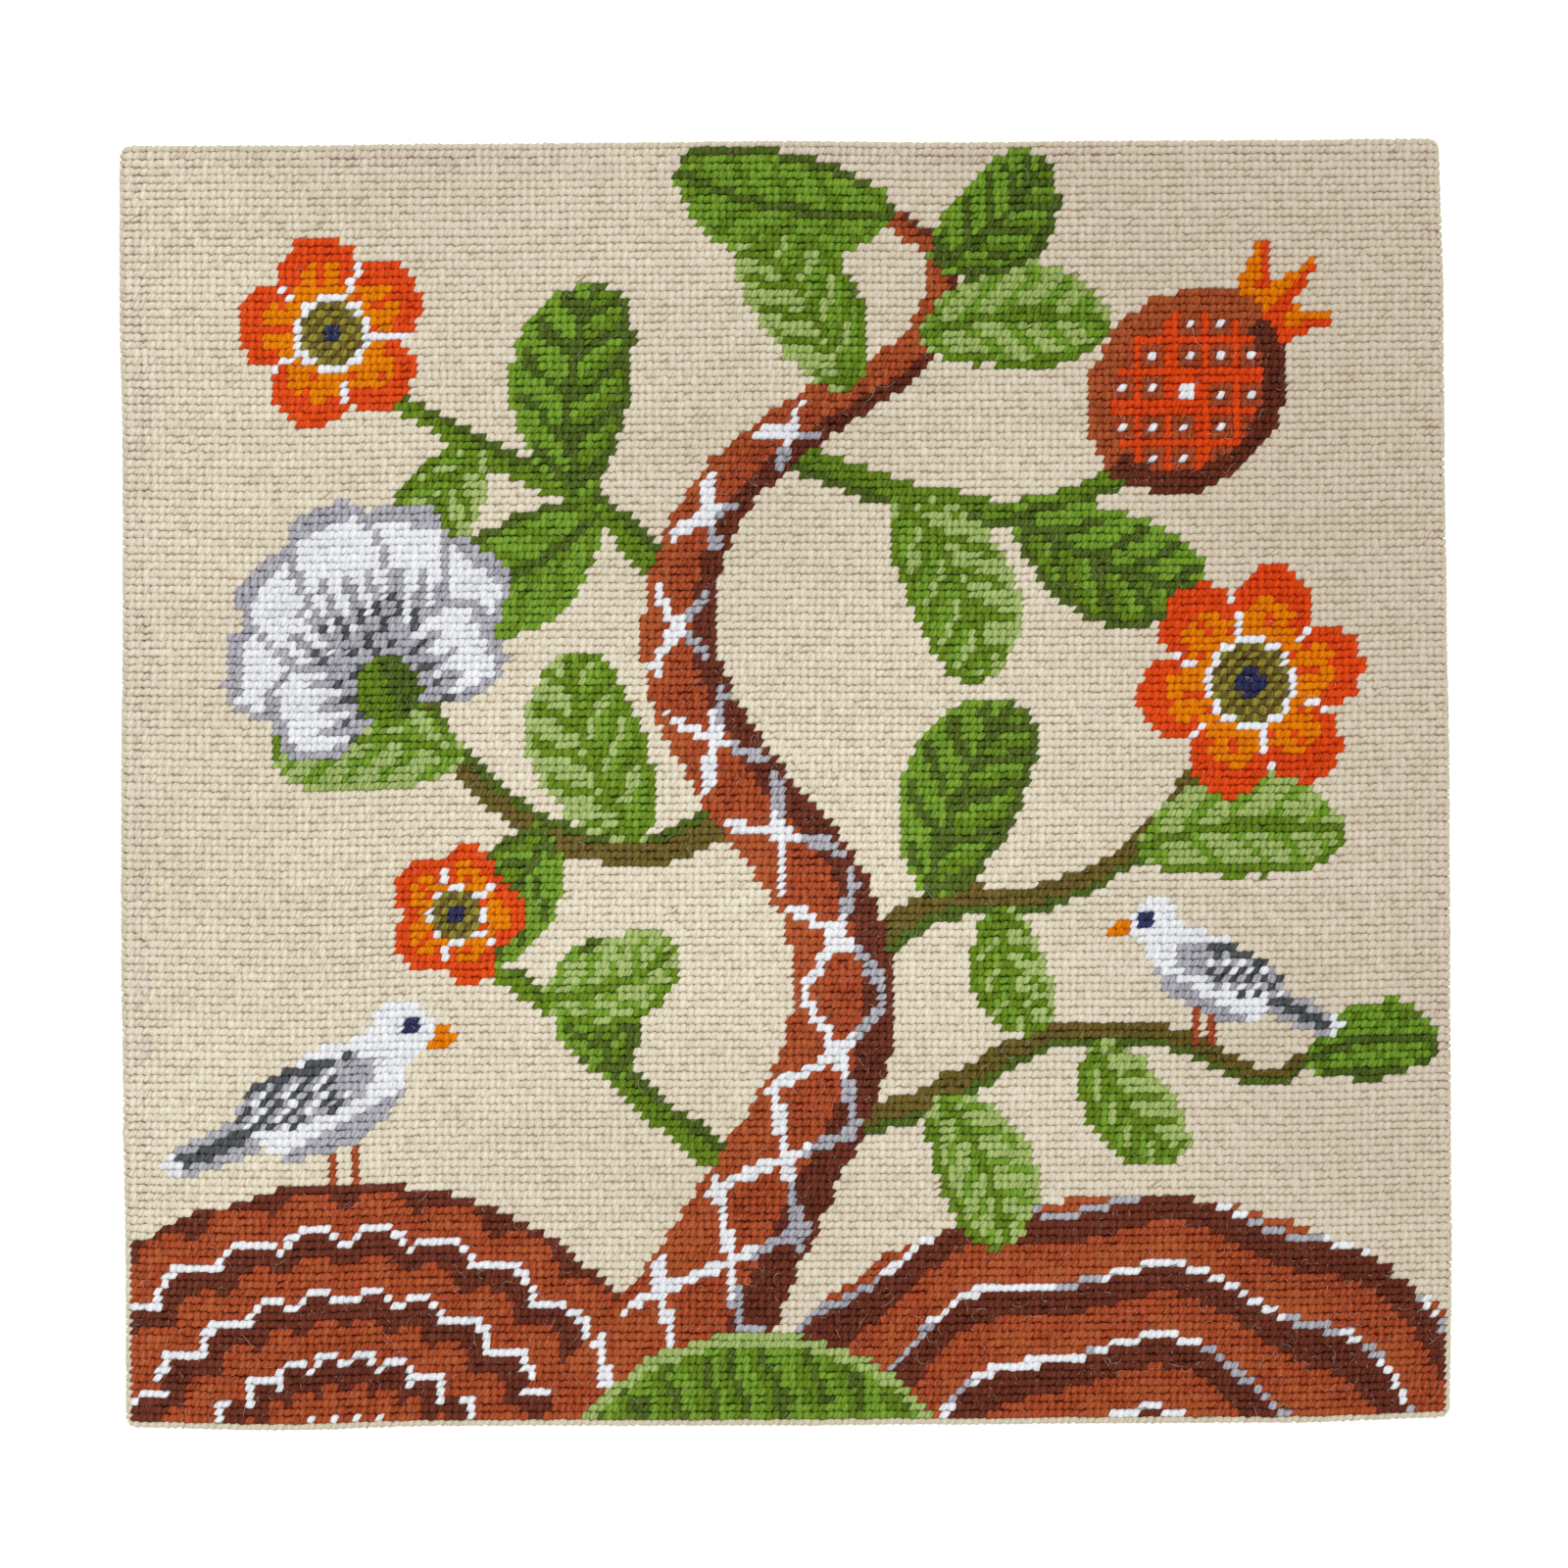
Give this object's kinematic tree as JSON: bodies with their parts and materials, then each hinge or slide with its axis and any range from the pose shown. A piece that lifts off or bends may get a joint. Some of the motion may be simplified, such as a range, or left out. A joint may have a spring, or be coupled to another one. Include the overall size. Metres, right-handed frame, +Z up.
{
  "type": "needlepoint panel",
  "caption": "Flat needlepoint panel in wool tent stitch on even-weave canvas, its bare margin turned under as a hem, lying face up.",
  "frame": {"origin": "on the surface the panel lies on, below the middle of its bounding box", "axes": "+Z up out of the worked face, +Y towards the top of the worked face, +X along its longer side to the right"},
  "size_m": [0.4368, 0.4238, 0.0043],
  "materials": {
    "wool_on_canvas": "matt twisted wool in slanting stitches"
  },
  "bodies": {
    "root": {"stitched_panel": "wool_on_canvas"}
  },
  "joints": []
}
